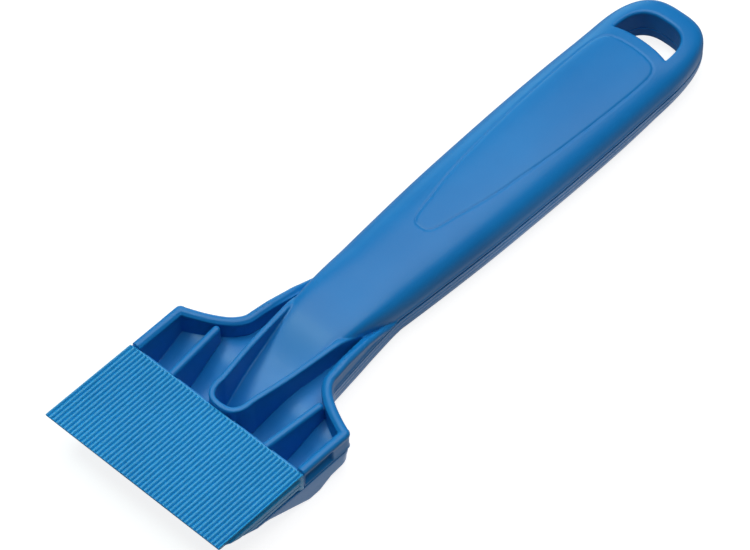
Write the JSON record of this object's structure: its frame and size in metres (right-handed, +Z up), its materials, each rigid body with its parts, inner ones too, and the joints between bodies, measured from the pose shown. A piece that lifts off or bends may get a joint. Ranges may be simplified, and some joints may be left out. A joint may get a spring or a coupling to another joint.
{
  "type": "windshield ice scraper",
  "caption": "Hand ice scraper: a wide ribbed scraping blade and open ribbed tray on a long flat two-shell grip with a hanging hole.",
  "frame": {"origin": "on the surface the scraper lies on, below the middle of its length and width", "axes": "+Y runs from the scraping edge to the end of the grip, +X across the blade, +Z up through the crown of the grip"},
  "size_m": [0.07, 0.2458, 0.0187],
  "materials": {
    "blade_plastic": "gloss",
    "shell_plastic": "satin"
  },
  "bodies": {
    "root": {"blade": "blade_plastic", "upper_shell": "shell_plastic", "lower_shell": "shell_plastic"}
  },
  "joints": []
}
